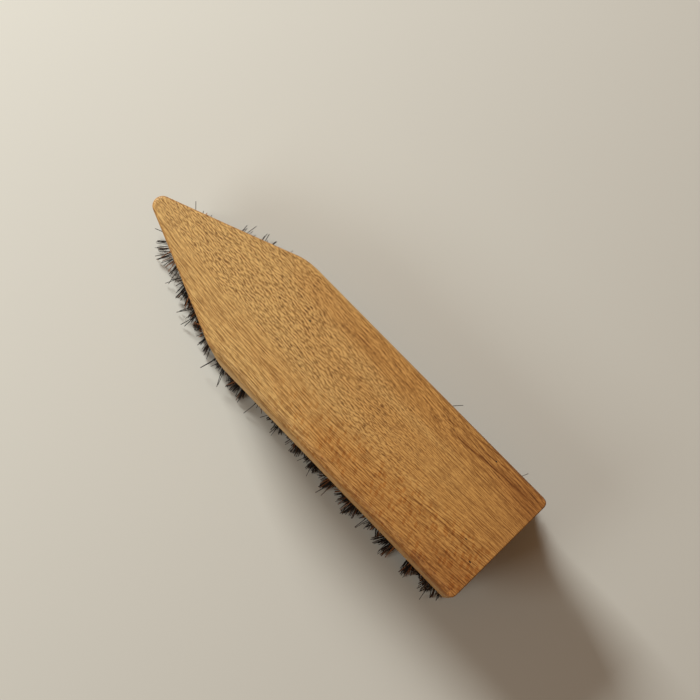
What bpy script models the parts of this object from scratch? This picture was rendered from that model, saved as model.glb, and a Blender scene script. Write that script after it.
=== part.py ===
"""Shoe brush: a pointed oak block whose hair tufts are drawn into stepped holes by one wire.

The block is two boards.  The stock carries the holes, and the cover board is glued over its back,
where it hides the wire.  Each tuft is a bundle of hair folded in half: its fold hangs in a loop of
the draw wire, at the step in its hole.  +X points to the nose, +Y is the left side seen from the
blunt end, and Z is 0 at the trimmed ends of the hair.  All lengths are in metres.
"""
import math
import random

import bmesh
import bpy
from mathutils import Vector

# Block outline, seen from above
LENGTH = 0.180
WIDTH = 0.0493
NOSE_LENGTH = 0.0569
NOSE_TIP_RADIUS = 0.0042
NOSE_BULGE = 0.0003
SHOULDER_RADIUS = 0.0262
END_CORNER_RADIUS = 0.0028

# Heights, from the trimmed hair up
HAIR_LENGTH = 0.023
STOCK_THICKNESS = 0.015
COVER_THICKNESS = 0.0067
COVER_SIDE_RADIUS = 0.0032
COVER_NOSE_RADIUS = 0.0014
COVER_END_RADIUS = 0.0008
STOCK_EDGE_CHAMFER = 0.0008
SEAT_GAP = 0.0003

# Stepped holes, measured across their flats
TUFT_HOLE_WIDTH = 0.0056
TUFT_HOLE_DEPTH = 0.0090
WIRE_HOLE_WIDTH = 0.0032
CUTTER_OVERRUN = 0.001

# Draw wire and the folds that it holds
WIRE_DIAMETER = 0.0005
WIRE_BEND = 0.0005
WIRE_TAIL = 0.002
FOLD_WIDTH = 0.0034
FOLD_CROWN_WIDTH = 0.0018
FOLD_CROWN_DEPTH = 0.0008

# Tuft layout
STRAIGHT_COLUMNS = 12
ROWS = 4
END_INSET = 0.0086
NOSE_TIP_INSET = 0.0150
ROW_REACH_SHARE = 0.757
NOSE_TUFTS = (3, 3, 2, 1)
NOSE_REACH_SHARES = (0.69, 0.61, 0.49, 0)

# Hair
SIDE_SPLAY = 0.0030
NOSE_SPLAY = 0.0070
TIP_SPLAY = 0.0050
END_SPLAY = 0.0020
STRAND_SPACING = 0.0005
HAIR_WANDER = 0.0004
TIP_SPREAD_SHARE = 0.43
LAST_SPREAD_SHARE = 1.2
TIP_WIDTH_SHARE = 0.65
CURVE_POWER = 1.6
CURVED_STEPS = 2
STRAIGHT_STEPS = 1
HAIR_SEED = 7

# Facets
TUFT_SIDES = 6
CORNER_STEPS = 3
SHOULDER_STEPS = 6
NOSE_STEPS = 3
TIP_STEPS = 5
EDGE_STEPS = 3

# Levels and places that follow
stock_bottom = HAIR_LENGTH
stock_top = stock_bottom + STOCK_THICKNESS
cover_bottom = stock_top + SEAT_GAP
cover_top = cover_bottom + COVER_THICKNESS
hole_step = stock_bottom + TUFT_HOLE_DEPTH
wire_slot = WIRE_DIAMETER + 2 * SEAT_GAP
groove_floor = stock_top - wire_slot
groove_wire_level = groove_floor + wire_slot / 2
fold_height = wire_slot + FOLD_CROWN_DEPTH
plug_top = hole_step - SEAT_GAP - fold_height
loop_level = plug_top + wire_slot / 2
leg_offset = WIRE_HOLE_WIDTH / 2 - SEAT_GAP - WIRE_DIAMETER / 2
fold_thickness = 2 * leg_offset - wire_slot
half_width = WIDTH / 2
end_x = -LENGTH / 2
tip_x = LENGTH / 2
shoulder_x = tip_x - NOSE_LENGTH
first_column_x = end_x + END_INSET
column_pitch = (shoulder_x - first_column_x) / (STRAIGHT_COLUMNS - 1)
nose_pitch = (NOSE_LENGTH - NOSE_TIP_INSET) / len(NOSE_TUFTS)
tip_spread = TIP_SPREAD_SHARE * min(column_pitch, nose_pitch)


def clear_scene():
    """Remove every object, so that the script can be run again in the same file."""
    for old in list(bpy.data.objects):
        bpy.data.objects.remove(old, do_unlink=True)


def material(name, colour, roughness, metallic=0):
    """A Principled material for one of the brush's substances."""
    made = bpy.data.materials.new(name)
    made.use_nodes = True
    shader = made.node_tree.nodes["Principled BSDF"]
    shader.inputs["Base Color"].default_value = (*colour, 1)
    shader.inputs["Roughness"].default_value = roughness
    shader.inputs["Metallic"].default_value = metallic
    return made


def add_object(name, mesh, substance):
    """Put a mesh in the scene under the piece's name."""
    mesh.name = name
    mesh.materials.clear()
    mesh.materials.append(substance)
    made = bpy.data.objects.new(name, mesh)
    bpy.context.scene.collection.objects.link(made)
    return made


def mesh_from(bm, name):
    """Turn an edit mesh into a mesh, and free it."""
    mesh = bpy.data.meshes.new(name)
    bm.normal_update()
    bm.to_mesh(mesh)
    bm.free()
    return mesh


def hide_cutter(cutter):
    """Show a cutter as wire only, and keep it out of renders."""
    cutter.display_type = "WIRE"
    cutter.hide_render = True


def arc(centre, radius, start, end, steps):
    """Points along a circular arc, both ends included."""
    angles = [start + (end - start) * step / steps for step in range(steps + 1)]
    return [centre + radius * Vector((math.cos(angle), math.sin(angle))) for angle in angles]


def nose_edge():
    """The nose's straight edge: its ends, and the angle of its outward normal."""
    shoulder = Vector((shoulder_x, half_width))
    tip_centre = Vector((tip_x - NOSE_TIP_RADIUS, 0))
    reach = tip_centre - shoulder
    heading = math.atan2(reach.y, reach.x) + math.asin(NOSE_TIP_RADIUS / reach.length)
    run = math.sqrt(reach.length ** 2 - NOSE_TIP_RADIUS ** 2)
    tangent_end = shoulder + run * Vector((math.cos(heading), math.sin(heading)))
    return shoulder, tangent_end, heading + math.pi / 2


def block_outline():
    """The block's outline from above, anticlockwise from the blunt end's right corner."""
    shoulder, tangent_end, normal_angle = nose_edge()
    edge = (tangent_end - shoulder).normalized()
    normal = Vector((math.cos(normal_angle), math.sin(normal_angle)))
    turn = math.pi / 2 - normal_angle
    round_start = shoulder.x - SHOULDER_RADIUS * math.tan(turn / 2)
    round_centre = Vector((round_start, half_width - SHOULDER_RADIUS))
    round_end = shoulder + edge * (shoulder.x - round_start)
    tip_centre = Vector((tip_x - NOSE_TIP_RADIUS, 0))
    corner_centre = Vector((end_x + END_CORNER_RADIUS, half_width - END_CORNER_RADIUS))

    left = arc(tip_centre, NOSE_TIP_RADIUS, 0, normal_angle, TIP_STEPS)
    for step in range(NOSE_STEPS - 1, 0, -1):
        share = step / NOSE_STEPS
        swell = NOSE_BULGE * 4 * share * (1 - share)
        left.append(round_end.lerp(tangent_end, share) + normal * swell)
    left += arc(round_centre, SHOULDER_RADIUS, normal_angle, math.pi / 2, SHOULDER_STEPS)
    left += arc(corner_centre, END_CORNER_RADIUS, math.pi / 2, math.pi, CORNER_STEPS)
    right = [Vector((point.x, -point.y)) for point in reversed(left[1:])]
    return left + right


def mitre(before, corner, after):
    """How a path's right-hand offset of one unit moves this corner."""
    arriving = (corner - before).normalized()
    leaving = (after - corner).normalized()
    sides = [Vector((way.y, -way.x)) for way in (arriving, leaving)]
    return (sides[0] + sides[1]) / (1 + sides[0].dot(sides[1]))


def outline_mitres(points):
    """How an outset of one unit moves each corner of an anticlockwise outline."""
    count = len(points)
    return [
        mitre(points[index - 1], corner, points[(index + 1) % count])
        for index, corner in enumerate(points)
    ]


def inset_outline(points, distances):
    """An anticlockwise outline drawn in by a distance of its own at each corner."""
    return [
        corner - outward * distance
        for corner, outward, distance in zip(points, outline_mitres(points), distances)
    ]


def cover_radius(outward):
    """The cover's edge rounding where its outline faces this way."""
    facing = outward.normalized().x
    if facing < 0:
        return COVER_SIDE_RADIUS - (COVER_SIDE_RADIUS - COVER_END_RADIUS) * -facing
    share = min(facing / math.cos(nose_edge()[2]), 1)
    return COVER_SIDE_RADIUS - (COVER_SIDE_RADIUS - COVER_NOSE_RADIUS) * share


def at_level(points, level):
    """Lift plan points to a height."""
    return [(point.x, point.y, level) for point in points]


def loft(bm, rings):
    """Skin a stack of anticlockwise rings into one closed body, lowest ring first."""
    loops = [[bm.verts.new(point) for point in ring] for ring in rings]
    bm.faces.new(list(reversed(loops[0])))
    for lower, upper in zip(loops, loops[1:]):
        for index in range(len(lower)):
            bm.faces.new((lower[index - 1], lower[index], upper[index], upper[index - 1]))
    bm.faces.new(loops[-1])


def hexagon(across_flats, centre=Vector((0, 0))):
    """A hexagon with two flats square to Y."""
    radius = across_flats / (2 * math.cos(math.pi / TUFT_SIDES))
    return arc(centre, radius, 0, 2 * math.pi, TUFT_SIDES)[:-1]


def half_width_at(x):
    """Half the block's width at a place along it, leaving the rounding aside."""
    if x <= shoulder_x:
        return half_width
    shoulder, tangent_end, _ = nose_edge()
    return shoulder.lerp(tangent_end, (x - shoulder.x) / (tangent_end.x - shoulder.x)).y


def tuft_columns():
    """Places of the tufts, a list for each column, from the blunt end to the nose."""
    columns = []
    for index in range(STRAIGHT_COLUMNS):
        x = first_column_x + index * column_pitch
        columns.append(spread_row(x, ROWS, ROW_REACH_SHARE * half_width))
    for index, (count, share) in enumerate(zip(NOSE_TUFTS, NOSE_REACH_SHARES)):
        x = shoulder_x + (index + 1) * nose_pitch
        columns.append(spread_row(x, count, share * half_width_at(x)))
    return columns


def spread_row(x, count, reach):
    """Evenly spaced places across the block at one X, from -Y to +Y."""
    if count == 1:
        return [Vector((x, 0))]
    return [Vector((x, reach * (2 * index / (count - 1) - 1))) for index in range(count)]


def wire_route(columns):
    """The wire's points: down and up each hole, to and fro across the columns."""
    start = columns[0][0]
    route = [(start.x + WIRE_TAIL, start.y - leg_offset - WIRE_BEND, groove_wire_level)]
    way = 1
    for column in columns:
        for place in column[::way]:
            for side in (-way, way):
                near = place.y + side * leg_offset
                lip = (place.x, near + side * WIRE_BEND, groove_wire_level)
                bend = (place.x, near, groove_wire_level - WIRE_BEND)
                foot = (place.x, near, loop_level)
                route += [lip, bend, foot] if side == -way else [foot, bend, lip]
        way = -way
    end = route[-1]
    route.append((end[0] - WIRE_TAIL, end[1], end[2]))
    return route


def groove_plan(columns):
    """Corners of the groove's middle line on the stock's back."""
    overhang = leg_offset + WIRE_BEND
    start = columns[0][0]
    plan = [Vector((start.x + WIRE_TAIL + WIRE_BEND, start.y - overhang))]
    way = 1
    for column in columns:
        plan.append(Vector((column[0].x, column[::way][0].y - way * overhang)))
        plan.append(Vector((column[0].x, column[::way][-1].y + way * overhang)))
        way = -way
    plan.append(plan[-1] - Vector((WIRE_TAIL + WIRE_BEND, 0)))
    return plan


def make_groove_cutter(columns):
    """One ribbon that cuts the whole wire groove."""
    plan = groove_plan(columns)
    right = []
    left = []
    for index, corner in enumerate(plan):
        before = plan[index - 1] if index else corner * 2 - plan[1]
        after = plan[index + 1] if index + 1 < len(plan) else corner * 2 - plan[-2]
        side = mitre(before, corner, after) * (wire_slot / 2)
        right.append(corner + side)
        left.append(corner - side)
    ribbon = right + left[::-1]
    bm = bmesh.new()
    loft(bm, [at_level(ribbon, level) for level in (groove_floor, stock_top + CUTTER_OVERRUN)])
    return mesh_from(bm, "groove_cutter")


def make_hole_cutter(columns):
    """One stepped body for each hole: wide for the tuft, narrow for the wire's two legs."""
    bm = bmesh.new()
    for place in [place for column in columns for place in column]:
        wide = hexagon(TUFT_HOLE_WIDTH, place)
        narrow = hexagon(WIRE_HOLE_WIDTH, place)
        loft(bm, [
            at_level(wide, stock_bottom - CUTTER_OVERRUN),
            at_level(wide, hole_step),
            at_level(narrow, hole_step),
            at_level(narrow, stock_top + CUTTER_OVERRUN),
        ])
    return mesh_from(bm, "hole_cutter")


def make_stock(columns, oak):
    """The bored lower board, chamfered round its lower edge, with the groove on its back."""
    outline = block_outline()
    chamfer = [STOCK_EDGE_CHAMFER] * len(outline)
    bm = bmesh.new()
    loft(bm, [
        at_level(inset_outline(outline, chamfer), stock_bottom),
        at_level(outline, stock_bottom + STOCK_EDGE_CHAMFER),
        at_level(outline, stock_top),
    ])
    stock = add_object("stock", mesh_from(bm, "stock"), oak)
    for cutter_mesh in (make_hole_cutter(columns), make_groove_cutter(columns)):
        cutter = add_object(cutter_mesh.name, cutter_mesh, oak)
        hide_cutter(cutter)
        cut = stock.modifiers.new(cutter.name, "BOOLEAN")
        cut.object = cutter
        cut.operation = "DIFFERENCE"
    return stock


def make_cover_board(oak):
    """The upper board, its top edge well rounded along the sides and crisp at the blunt end."""
    outline = block_outline()
    radii = [cover_radius(outward) for outward in outline_mitres(outline)]
    rings = [at_level(outline, cover_bottom)]
    for step in range(EDGE_STEPS + 1):
        angle = math.pi / 2 * step / EDGE_STEPS
        drawn = inset_outline(outline, [radius * (1 - math.cos(angle)) for radius in radii])
        sunk = [radius * (1 - math.sin(angle)) for radius in radii]
        rings.append([(point.x, point.y, cover_top - drop) for point, drop in zip(drawn, sunk)])
    bm = bmesh.new()
    loft(bm, rings)
    return add_object("cover_board", mesh_from(bm, "cover_board"), oak)


def make_draw_wire(columns, brass):
    """The one wire that holds every tuft, swept along its route."""
    route = wire_route(columns)
    curve = bpy.data.curves.new("draw_wire", "CURVE")
    curve.dimensions = "3D"
    curve.bevel_depth = WIRE_DIAMETER / 2
    curve.bevel_resolution = 0
    curve.use_fill_caps = True
    line = curve.splines.new("POLY")
    line.points.add(len(route) - 1)
    for point, place in zip(line.points, route):
        point.co = (*place, 1)
    return add_object("draw_wire", curve, brass)


def fold_profile():
    """The folded head of a tuft, seen along the wire: an arch over the wire's slot."""
    half = FOLD_WIDTH / 2
    slot = wire_slot / 2
    root = plug_top - SEAT_GAP
    crown = plug_top + fold_height
    crown_half = FOLD_CROWN_WIDTH / 2
    slot_top = plug_top + wire_slot
    return [
        (-half, root), (-slot, root), (-slot, slot_top), (slot, slot_top), (slot, root), (half, root),
        (crown_half, crown), (-crown_half, crown),
    ]


def make_tuft_root():
    """The bound part of a tuft at X = Y = 0: its plug in the hole, joined to its folded head."""
    bm = bmesh.new()
    plug_outline = hexagon(TUFT_HOLE_WIDTH - 2 * SEAT_GAP)
    loft(bm, [at_level(plug_outline, level) for level in (stock_bottom, plug_top)])
    plug = bpy.data.objects.new("plug", mesh_from(bm, "plug"))

    bm = bmesh.new()
    back = fold_thickness / 2
    loft(bm, [[(x, y, z) for x, z in fold_profile()] for y in (back, -back)])
    fold = bpy.data.objects.new("fold", mesh_from(bm, "fold"))

    for piece in (plug, fold):
        bpy.context.scene.collection.objects.link(piece)
    join = plug.modifiers.new("join", "BOOLEAN")
    join.object = fold
    join.operation = "UNION"
    seen = plug.evaluated_get(bpy.context.evaluated_depsgraph_get())
    root = bpy.data.meshes.new_from_object(seen)
    for piece in (plug, fold):
        bpy.data.objects.remove(piece)
    return root


def tuft_lean(place, column):
    """How far the hair's ends drift from under their hole, and how far they spread from each other."""
    if column == STRAIGHT_COLUMNS + len(NOSE_TUFTS) - 1:
        return Vector((TIP_SPLAY, 0)), LAST_SPREAD_SHARE * half_width_at(place.x)
    outward, share, splay = math.pi / 2, ROW_REACH_SHARE, SIDE_SPLAY
    if column >= STRAIGHT_COLUMNS:
        outward, share, splay = nose_edge()[2], NOSE_REACH_SHARES[column - STRAIGHT_COLUMNS], NOSE_SPLAY
    local_half = half_width_at(place.x)
    wall = local_half * (1 - share) * math.sin(outward)
    drift = (wall + splay - tip_spread) * place.y / (share * local_half)
    lean = Vector((abs(drift) * math.cos(outward), drift * math.sin(outward)))
    if column == 0:
        lean.x -= END_SPLAY
    return lean, tip_spread


def bearing(face, place):
    """The direction of a face from a tuft's axis, as an angle."""
    centre = face.calc_center_median()
    return math.atan2(centre.y - place.y, centre.x - place.x)


def grow_strand(bm, petal, place, lean, spread, steps, wander):
    """Draw one face of the tuft's lower end down into a tapered strand with a level end."""
    root = petal.calc_center_median()
    away = Vector((root.x - place.x, root.y - place.y)).normalized()
    drift = lean + away * spread - Vector((root.x - place.x, root.y - place.y))
    drift += Vector((wander.uniform(-1, 1), wander.uniform(-1, 1))) * HAIR_WANDER
    width = 1
    for step in range(1, steps + 1):
        fall = step / steps
        shift = drift * fall ** CURVE_POWER
        centre = Vector((root.x + shift.x, root.y + shift.y, stock_bottom * (1 - fall)))
        before = petal.calc_center_median()
        next_width = 1 - (1 - TIP_WIDTH_SHARE) * fall
        petal = bmesh.ops.extrude_discrete_faces(bm, faces=[petal])["faces"][0]
        for vertex in petal.verts:
            vertex.co = centre + (vertex.co - before) * (next_width / width)
        width = next_width
    return petal


def make_tuft(name, root_mesh, place, lean, spread, steps, hair, seed):
    """One tuft: folded head, plug and six strands.  A tuft on the -Y side mirrors its twin."""
    wander = random.Random(seed)
    mirrored = place.y < 0
    twin = Vector((place.x, abs(place.y)))
    bm = bmesh.new()
    bm.from_mesh(root_mesh)
    bmesh.ops.translate(bm, verts=bm.verts, vec=(twin.x, twin.y, 0))
    lower_end = min(bm.faces, key=lambda face: face.calc_center_median().z)
    petals = bmesh.ops.poke(bm, faces=[lower_end])["faces"]
    petals.sort(key=lambda face: bearing(face, twin))
    bmesh.ops.inset_individual(bm, faces=petals, thickness=STRAND_SPACING / 2, use_even_offset=True)
    twin_lean = Vector((lean.x, abs(lean.y)))
    ends = [grow_strand(bm, petal, twin, twin_lean, spread, steps, wander) for petal in petals]
    tip = ends[0].calc_center_median()
    if mirrored:
        for vertex in bm.verts:
            vertex.co.y = -vertex.co.y
        bmesh.ops.reverse_faces(bm, faces=bm.faces)
        tip.y = -tip.y
    add_object(name, mesh_from(bm, name), hair)
    return len(ends), tip


def make_tufts(columns, hair):
    """Every tuft, named by its column from the blunt end and its row from -Y."""
    root_mesh = make_tuft_root()
    strands = 0
    for column, places in enumerate(columns):
        for row, place in enumerate(places):
            lean, spread = tuft_lean(place, column)
            outermost = row in (0, len(places) - 1)
            steps = CURVED_STEPS if outermost else STRAIGHT_STEPS
            seed = HAIR_SEED + len(columns) * min(row, len(places) - 1 - row) + column
            name = f"tuft_{column + 1:02d}_{row + 1}"
            count, tip = make_tuft(name, root_mesh, place, lean, spread, steps, hair, seed)
            strands += count
            if column == STRAIGHT_COLUMNS // 2 and row == 1:
                print(f"Level hair end of {name}: ({tip.x:.6f}, {tip.y:.6f}, {tip.z:.6f})")
    print(f"{strands} strands in {sum(len(places) for places in columns)} tufts")
    bpy.data.meshes.remove(root_mesh)


def print_wire_gap(columns):
    """Print the least gap between two runs of the wire that aren't neighbours."""
    route = [Vector(point) for point in wire_route(columns)]
    least = min(
        (first - second).length
        for index, first in enumerate(route)
        for second in route[index + 3:]
    )
    print(f"Least gap of the wire to itself: {(least - WIRE_DIAMETER) * 1000:.2f} mm")


def main():
    """Build the brush."""
    clear_scene()
    oak = material("oiled_oak", (0.42, 0.21, 0.08), 0.55)
    hair = material("dark_mixed_hair", (0.035, 0.022, 0.016), 0.6)
    brass = material("brass_wire", (0.78, 0.57, 0.25), 0.3, 1)
    columns = tuft_columns()
    make_stock(columns, oak)
    make_cover_board(oak)
    make_draw_wire(columns, brass)
    make_tufts(columns, hair)
    print_wire_gap(columns)


main()
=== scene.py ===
"""Dresses the packed shoe brush in oiled oak and mixed hair, and lights it on a pale floor.

The block's two boards get finely rounded edges and bored holes, every tuft gets its hairs, and the
draw wire gets its brass.  Lengths are in metres, in the frame's own axes: +X to the nose, +Y to the
left side seen from the blunt end, Z 0 at the trimmed hair.
"""
import math
import random

import bmesh
import bpy
import numpy as np
from bpy.props import FloatProperty, FloatVectorProperty, IntProperty, PointerProperty
from mathutils import Matrix, Vector


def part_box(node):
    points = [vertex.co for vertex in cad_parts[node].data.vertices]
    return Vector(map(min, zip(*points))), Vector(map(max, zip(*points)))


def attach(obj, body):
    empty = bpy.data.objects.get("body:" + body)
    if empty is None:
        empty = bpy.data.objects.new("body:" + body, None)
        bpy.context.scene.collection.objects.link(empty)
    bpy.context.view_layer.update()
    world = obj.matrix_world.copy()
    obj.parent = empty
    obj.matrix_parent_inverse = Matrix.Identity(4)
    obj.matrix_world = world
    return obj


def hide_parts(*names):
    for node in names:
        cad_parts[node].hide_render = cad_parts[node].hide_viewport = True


bl_info = {
    "name": "Shoe Brush Finish",
    "version": (1, 0, 0),
    "blender": (4, 5, 0),
    "location": "3D View > Sidebar > Shoe Brush",
    "description": "Dresses the shoe brush in oiled oak and mixed hair, and lights it",
    "category": "Object",
}

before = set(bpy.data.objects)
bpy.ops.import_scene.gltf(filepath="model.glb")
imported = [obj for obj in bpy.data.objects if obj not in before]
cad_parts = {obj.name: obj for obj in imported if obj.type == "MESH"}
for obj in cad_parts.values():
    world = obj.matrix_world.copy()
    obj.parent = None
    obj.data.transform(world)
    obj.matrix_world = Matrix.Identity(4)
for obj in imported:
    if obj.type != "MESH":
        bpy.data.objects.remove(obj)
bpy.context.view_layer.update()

BODY = "root"
MM = 0.001


def mm(*lengths):
    """Lengths given in millimetres, as metres."""
    return tuple(length * MM for length in lengths)


# Single dark lines on the face: start and end as (x, y), bow, half width and depth
DARK_LINES = (
    (mm(-43.5, -16.3), mm(-91, -19.9), *mm(-0.8, 0.62), 1.0),
    (mm(-51, -21.7), mm(-68, -24.2), *mm(0.0, 0.45), 0.85),
    (mm(-43, -19.4), mm(-49, -19.9), *mm(0.0, 0.45), 0.95),
    (mm(-61, -20.7), mm(-68, -21.4), *mm(0.0, 0.42), 0.90),
    (mm(-68, -21.7), mm(-73, -22.5), *mm(0.0, 0.42), 0.85),
    (mm(-39, -17.0), mm(-43, -17.2), *mm(0.0, 0.40), 0.85),
    (mm(8, -17.9), mm(-37, -17.8), *mm(0.0, 0.45), 0.50),
    (mm(-64, 7.9), mm(-86, 7.5), *mm(0.0, 0.62), 0.75),
    (mm(-50, 9.6), mm(-70, 7.4), *mm(0.0, 0.50), 0.55),
    (mm(-60, -4.4), mm(-74, -4.8), *mm(0.0, 0.36), 0.60),
    (mm(-68, -2.2), mm(-84, -2.4), *mm(0.0, 0.36), 0.65),
    (mm(-72, -6.6), mm(-88, -7.0), *mm(0.0, 0.36), 0.60),
)
# Pin holes in the face: x, y and radius
SPECKS = (
    mm(16.3, -9.0, 0.36),
    mm(-66.8, -21.3, 0.30),
    mm(-85.2, 10.4, 0.32),
    mm(-78.6, 5.7, 0.27),
)
# Tufts whose ends lie off their even places: step in x and in y
COMBED = {
    "tuft_01_4": mm(1.8, -0.2),
    "tuft_02_4": mm(-5.0, -1.2),
    "tuft_03_4": mm(3.8, 1.0),
    "tuft_04_4": mm(0.0, -0.8),
    "tuft_05_4": mm(3.4, 0.5),
    "tuft_06_4": mm(5.6, -0.4),
    "tuft_07_4": mm(-0.8, 0.0),
    "tuft_08_4": mm(1.5, -0.6),
    "tuft_09_4": mm(-1.5, -2.3),
    "tuft_10_4": mm(0.0, -4.2),
    "tuft_11_4": mm(3.6, -0.4),
    "tuft_12_4": mm(0.0, -1.2),
    "tuft_13_3": mm(1.5, -3.8),
    "tuft_14_3": mm(-1.0, -2.6),
    "tuft_15_2": mm(-2.0, -1.2),
}
# Hairs and bunches that stick out of a tuft: how many, end x and y, scatter and lift
STRAYS = {
    "tuft_16_1": (
        (1, *mm(95.0, 4.0, 0.0, 2)),
        (5, *mm(91.3, 7.6, 0.9, 1)),
        (5, *mm(88.2, 9.6, 1.2, 1)),
        (1, *mm(83.6, 8.6, 1.6, 1)),
        (4, *mm(79.0, 10.4, 1.8, 1)),
        (1, *mm(89.8, -14.6, 0.0, 9)),
        (1, *mm(83.0, -16.0, 0.0, 3)),
    ),
    "tuft_15_2": ((4, *mm(74.6, 14.2, 1.5, 1)), (1, *mm(68.9, 16.0, 1.5, 1))),
    "tuft_14_3": ((4, *mm(62.0, 18.6, 1.6, 1)), (2, *mm(58.8, 22.6, 0.8, 1))),
    "tuft_13_3": ((2, *mm(42.6, 26.0, 0.9, 1)),),
    "tuft_15_1": ((4, *mm(69.0, -22.0, 0.9, 2)), (4, *mm(65.6, -24.2, 1.2, 3))),
    "tuft_14_1": ((4, *mm(61.6, -25.0, 1.3, 2)), (3, *mm(57.4, -27.2, 0.8, 2))),
    "tuft_13_1": ((2, *mm(49.9, -28.9, 0.5, 2)),),
    "tuft_12_4": ((2, *mm(40.2, 29.6, 0.1, 3)), (2, *mm(30.4, 29.9, 0.4, 3))),
    "tuft_10_4": ((1, *mm(16.2, 29.0, 0.8, 1)),),
    "tuft_09_4": ((3, *mm(3.0, 26.6, 1.4, 1)),),
    "tuft_04_4": ((2, *mm(-46.9, 29.2, 0.3, 3)),),
    "tuft_06_1": ((1, *mm(-42.6, -32.7, 0.0, 12)),),
    "tuft_02_1": ((1, *mm(-78.4, -32.3, 0.0, 10)),),
}

# Ramps by a place or by the way the surface faces: start, end and the values at both, or else 0 and 1
GRAIN_BOW_BY_Y = mm(-15, 5)
CALM_BY_X = (*mm(-10, -66), 0.0, 0.9)
CALM_BY_Y = mm(2, 12)
STREAKS_BY_X = mm(40, 10)
STREAKS_BY_Y = mm(-11, -17)
FLECKS_BY_X = (*mm(14, -14), 0.2, 0.65)
# Darker towards the blunt end: partly the wood's own tone, partly painted shade for the lamp light that
# falls off towards that end
TONE_BY_X = (*mm(80, -90), 0.0, 0.36)
END_TONE_BY_X = (*mm(-58, -92), 0.0, 0.32)
LEFT_TONE_BY_X = (*mm(-6, -30), 0.0, 0.30)
LEFT_TONE_BY_Y = mm(8, 19)
RIGHT_TONE_BY_X = mm(52, 22)
RIGHT_TONE_BY_Y = mm(-10, -21)
RIGHT_END_TONE_BY_X = (*mm(-28, -76), 0.20, 0.32)
NOSE_BY_X = mm(28, 42)
# Painted shade: the nose's rounded rim and a band just inside its edges are darkened, for the shade on
# the rounding
NOSE_LINE_SHADE_BY_DEPTH = mm(1.9, 1.1)
NOSE_LINE_SHADE_BY_X = (*mm(60, 52), 0.0, 0.42)
NOSE_LINE_SHADE_BY_Y = (*mm(-1, 1), 0.0, 0.62)
NOSE_RIM_SHADE_BY_UP = (0.998, 0.66)
# Painted highlight: the right rim is painted towards honey, for the key lamp's light on its rounding
RIGHT_RIM_HIGHLIGHT_BY_X = (*mm(-60, 20), 0.0, 0.50)
RIGHT_RIM_HIGHLIGHT_BY_UP = (0.995, 0.60)
RIGHT_RIM_HIGHLIGHT_BY_FACING = (0.0, -0.3)
# Painted highlight: the walls are mixed towards a pale colour, for the light they catch
WALL_HIGHLIGHT_BY_UP = (0.50, 0.05, 0.0, 0.4)
# Painted shade: the walls and their rounding darken towards the blunt end
END_WALL_SHADE_BY_X = mm(-10, -62)
END_WALL_SHADE_BY_UP = (0.92, 0.45)
DULL_BY_UP = (0.70, 0.25, 0.0, 0.60)
END_GRAIN_BY_FACING = (0.80, 0.97)

# How far a place on the nose lies in from its edges: this depth, less these shares of x and of y
NOSE_LINE_DEPTH = 34.23 * MM
NOSE_LINE_X_SHARE = 0.346
NOSE_LINE_Y_SHARE = 0.932

# Slow changes: swells to a metre along each axis, and their reach; then the pith's place
SWAY_SWELLS = (14, 30, 30)
TONE_SWELLS = (16, 110, 110)
WOBBLE_SWELLS = (110, 60, 60)
RING_SWELLS = (60, 60, 60)
END_PORE_SWELLS = (2600, 2600, 2600)
SWAY = 4 * MM
WOBBLE = 0.25 * MM
RING_WAVER = 2 * MM
PITH_SIDE = 4 * MM

# Dashes: the full share of their size, how unevenly they stand, and their depth by draw
DASH_CORE = 0.68
DASH_SCATTER = 0.8
DEPTH_BY_DRAW = (0.0, 0.8, 0.4, 1.0)

# Pores, lines, streaks and flecks: length and width of their spacing, size as a share of it, and depth
PORE_SIZE = 0.38
FINE_PORE_SPACING = 0.72
FINE_PORE_SIZE = 0.36
FINE_PORE_DEPTH = 0.75
CROWD = mm(16, 5)
CROWD_BY_SWELL = (0.34, 0.62)
PORES_BY_CROWD = (0.0, 1.0, 0.80, 0.92)
PORES_BY_CALM = (0.0, 1.0, 1.0, 0.45)
LINE_SIZE = 0.48
LONG_LINE_LENGTH = 2.4
LONG_LINE_WIDTH = 1.8
LONG_LINE_SIZE = 0.46
LONG_LINE_DEPTH = 0.50
LINES_BY_CALM = (0.0, 1.0, 0.25, 1.0)
LINES_DEPTH = 0.60
CALM_FIBRE_LENGTH = 3.2
FIBRE_SPLIT = 0.8
FIBRES_BY_SWELL = (-0.05, 0.15)
FIBRES_BY_CALM = (0.0, 1.0, 1.0, 0.76)
FIBRES_DEPTH = 0.82
STREAKS = (*mm(16, 1.0), 0.52)
STREAK_DEPTH = 0.42
STREAK_CALM = 0.6
DARK_LINE_RISE = (0.0, 0.25)
DARK_LINE_FALL = (0.8, 1.0, 1.0, 0.0)
FLECK_TURN = math.radians(62)
FLECKS = (*mm(3.6, 1.4), 0.50)
PORE_RELIEF = 0.05 * MM

# Brass, bright and dulled in patches
BRASS_SWELLS = (900, 900, 900)
BRIGHT_BRASS = (0.80, 0.58, 0.26, 1)
DULLED_BRASS = (0.42, 0.28, 0.12, 1)

# Steps round the outline and the edges, and how the rounding changes with the way they face
TIP_STEPS = 18
NOSE_EDGE_STEPS = 48
SHOULDER_STEPS = 14
SIDE_STEPS = 90
CORNER_STEPS = 10
HALF_END_STEPS = 22
UPPER_ROUND_STEPS = 8
LOWER_ROUND_STEPS = 3
END_ROUND_FROM = 0.1
END_ROUND_SPAN = 0.8
NOSE_ROUND_SPAN = 0.3
FACE_MARGIN = 0.3 * MM
CREASE_ANGLE = math.radians(32)
HOLE_SIDES = 24
HOLE_OVERRUN = 1 * MM

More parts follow.
